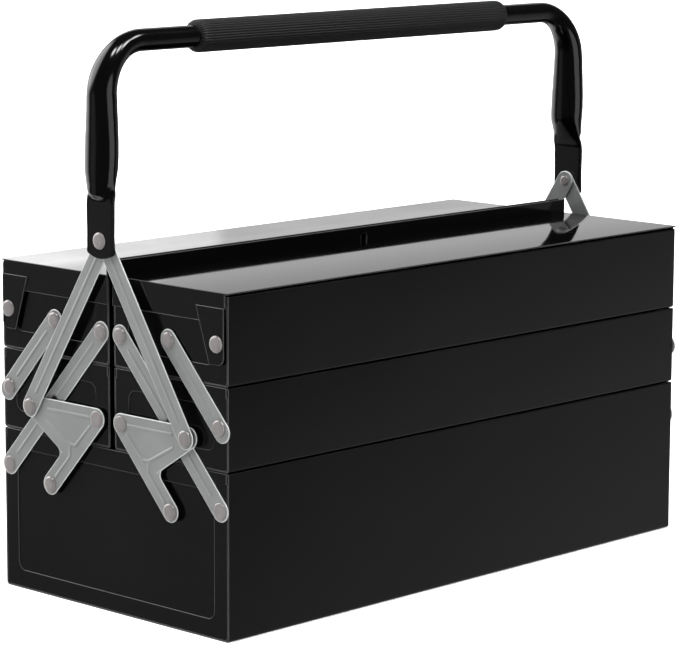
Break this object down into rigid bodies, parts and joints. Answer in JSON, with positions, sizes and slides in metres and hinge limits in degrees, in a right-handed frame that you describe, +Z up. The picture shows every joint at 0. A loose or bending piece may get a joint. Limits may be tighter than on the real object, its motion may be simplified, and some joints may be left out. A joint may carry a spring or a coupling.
{
  "type": "cantilever tool box",
  "caption": "Steel cantilever tool box: deep bottom tray, tiers of trays that swing out on parallel links to front and back, hinged lids and a tilting bail handle with a ribbed grip",
  "frame": {"origin": "on the floor, under the middle of the closed box", "axes": "+X along the length, -Y the front long face, +Z up"},
  "size_m": [0.4664, 0.2148, 0.3748],
  "materials": {
    "black_enamel": "gloss black enamel on folded sheet steel",
    "lid_enamel": "gloss black enamel on the lids",
    "link_zinc": "bright zinc plate on pressed steel strip",
    "rivet_zinc": "bright zinc plate on domed rivets",
    "handle_enamel": "gloss black enamel on bent steel tube",
    "grip_plastic": "soft black moulded sleeve with fine lengthwise ribs"
  },
  "bodies": {
    "bottom_tray": {"bottom_tray_pan": "black_enamel", "bottom_tray_left_end": "black_enamel", "bottom_tray_right_end": "black_enamel", "bottom_tray_rivets": "rivet_zinc", "bottom_tray_spacers": "black_enamel"},
    "front_cranks": {"front_left_crank": "link_zinc", "front_right_crank": "link_zinc"},
    "front_long_links": {"front_left_long_link": "link_zinc", "front_right_long_link": "link_zinc"},
    "front_mid_tray": {"front_mid_tray_pan": "black_enamel", "front_mid_tray_left_end": "black_enamel", "front_mid_tray_right_end": "black_enamel", "front_mid_tray_rivets": "rivet_zinc", "front_mid_tray_spacers": "black_enamel"},
    "front_short_links": {"front_left_short_link": "link_zinc", "front_right_short_link": "link_zinc"},
    "front_top_tray": {"front_top_tray_pan": "black_enamel", "front_top_tray_left_end": "black_enamel", "front_top_tray_right_end": "black_enamel", "front_top_tray_rivets": "rivet_zinc"},
    "front_lid": {"front_lid": "lid_enamel"},
    "front_lift_arms": {"front_left_lift_arm": "link_zinc", "front_right_lift_arm": "link_zinc", "front_arm_rivets": "rivet_zinc", "front_arm_spacers": "black_enamel"},
    "back_cranks": {"back_left_crank": "link_zinc", "back_right_crank": "link_zinc"},
    "back_long_links": {"back_left_long_link": "link_zinc", "back_right_long_link": "link_zinc"},
    "back_mid_tray": {"back_mid_tray_pan": "black_enamel", "back_mid_tray_left_end": "black_enamel", "back_mid_tray_right_end": "black_enamel", "back_mid_tray_rivets": "rivet_zinc", "back_mid_tray_spacers": "black_enamel"},
    "back_short_links": {"back_left_short_link": "link_zinc", "back_right_short_link": "link_zinc"},
    "back_top_tray": {"back_top_tray_pan": "black_enamel", "back_top_tray_left_end": "black_enamel", "back_top_tray_right_end": "black_enamel", "back_top_tray_rivets": "rivet_zinc"},
    "back_lid": {"back_lid": "lid_enamel"},
    "back_lift_arms": {"back_left_lift_arm": "link_zinc", "back_right_lift_arm": "link_zinc", "back_arm_rivets": "rivet_zinc", "back_arm_spacers": "black_enamel"},
    "lift_pivots": {"apex_rivets": "rivet_zinc"},
    "handle": {"handle_tube": "handle_enamel", "handle_grip": "grip_plastic"}
  },
  "joints": [
    {"name": "front_crank_pivot", "type": "hinge", "parent": "bottom_tray", "child": "front_cranks", "pos_m": [0, -0.0565, 0.0756], "axis": [1, 0, 0], "range_deg": [0, 84]},
    {"name": "front_long_link_pivot", "type": "hinge", "parent": "bottom_tray", "child": "front_long_links", "pos_m": [0, -0.0992, 0.0824], "axis": [1, 0, 0], "range_deg": [0, 84]},
    {"name": "front_mid_tray_pivot", "type": "hinge", "parent": "front_cranks", "child": "front_mid_tray", "pos_m": [0, -0.0114, 0.1248], "axis": [-1, 0, 0], "range_deg": [0, 84]},
    {"name": "front_short_link_pivot", "type": "hinge", "parent": "front_mid_tray", "child": "front_short_links", "pos_m": [0, -0.0984, 0.1341], "axis": [1, 0, 0], "range_deg": [0, 84]},
    {"name": "front_top_tray_pivot", "type": "hinge", "parent": "front_long_links", "child": "front_top_tray", "pos_m": [0, -0.009, 0.1808], "axis": [-1, 0, 0], "range_deg": [0, 84]},
    {"name": "front_lid_hinge", "type": "hinge", "parent": "front_top_tray", "child": "front_lid", "pos_m": [0, -0.0973, 0.1862], "axis": [1, 0, 0], "range_deg": [0, 110]},
    {"name": "back_crank_pivot", "type": "hinge", "parent": "bottom_tray", "child": "back_cranks", "pos_m": [0, 0.0565, 0.0756], "axis": [-1, 0, 0], "range_deg": [0, 84]},
    {"name": "back_long_link_pivot", "type": "hinge", "parent": "bottom_tray", "child": "back_long_links", "pos_m": [0, 0.0992, 0.0824], "axis": [-1, 0, 0], "range_deg": [0, 84]},
    {"name": "back_mid_tray_pivot", "type": "hinge", "parent": "back_cranks", "child": "back_mid_tray", "pos_m": [0, 0.0114, 0.1248], "axis": [1, 0, 0], "range_deg": [0, 84]},
    {"name": "back_short_link_pivot", "type": "hinge", "parent": "back_mid_tray", "child": "back_short_links", "pos_m": [0, 0.0984, 0.1341], "axis": [-1, 0, 0], "range_deg": [0, 84]},
    {"name": "back_top_tray_pivot", "type": "hinge", "parent": "back_long_links", "child": "back_top_tray", "pos_m": [0, 0.009, 0.1808], "axis": [1, 0, 0], "range_deg": [0, 84]},
    {"name": "back_lid_hinge", "type": "hinge", "parent": "back_top_tray", "child": "back_lid", "pos_m": [0, 0.0973, 0.1862], "axis": [-1, 0, 0], "range_deg": [0, 110]},
    {"name": "lift_travel", "type": "slide", "parent": "bottom_tray", "child": "lift_pivots", "axis": [0, 0, -1], "range_m": [0, 0.09127]},
    {"name": "front_lift_arm_pivot", "type": "hinge", "parent": "lift_pivots", "child": "front_lift_arms", "pos_m": [0, 0, 0.2406], "axis": [-1, 0, 0], "range_deg": [0, 18.89]},
    {"name": "back_lift_arm_pivot", "type": "hinge", "parent": "lift_pivots", "child": "back_lift_arms", "pos_m": [0, 0, 0.2406], "axis": [1, 0, 0], "range_deg": [0, 18.89]},
    {"name": "handle_tilt", "type": "hinge", "parent": "lift_pivots", "child": "handle", "pos_m": [0, 0, 0.2406], "axis": [1, 0, 0], "range_deg": [-70, 70]}
  ],
  "couplings": [
    {"joint": "back_crank_pivot", "follows": "front_crank_pivot", "ratio": 1},
    {"joint": "front_long_link_pivot", "follows": "front_crank_pivot", "ratio": 1},
    {"joint": "front_mid_tray_pivot", "follows": "front_crank_pivot", "ratio": 1},
    {"joint": "front_short_link_pivot", "follows": "front_crank_pivot", "ratio": 1},
    {"joint": "front_top_tray_pivot", "follows": "front_crank_pivot", "ratio": 1},
    {"joint": "back_long_link_pivot", "follows": "front_crank_pivot", "ratio": 1},
    {"joint": "back_mid_tray_pivot", "follows": "front_crank_pivot", "ratio": 1},
    {"joint": "back_short_link_pivot", "follows": "front_crank_pivot", "ratio": 1},
    {"joint": "back_top_tray_pivot", "follows": "front_crank_pivot", "ratio": 1},
    {"joint": "lift_travel", "follows": "front_crank_pivot", "m_per_rad": 0.062253},
    {"joint": "front_lift_arm_pivot", "follows": "front_crank_pivot", "ratio": 0.22494},
    {"joint": "back_lift_arm_pivot", "follows": "front_crank_pivot", "ratio": 0.22494}
  ]
}
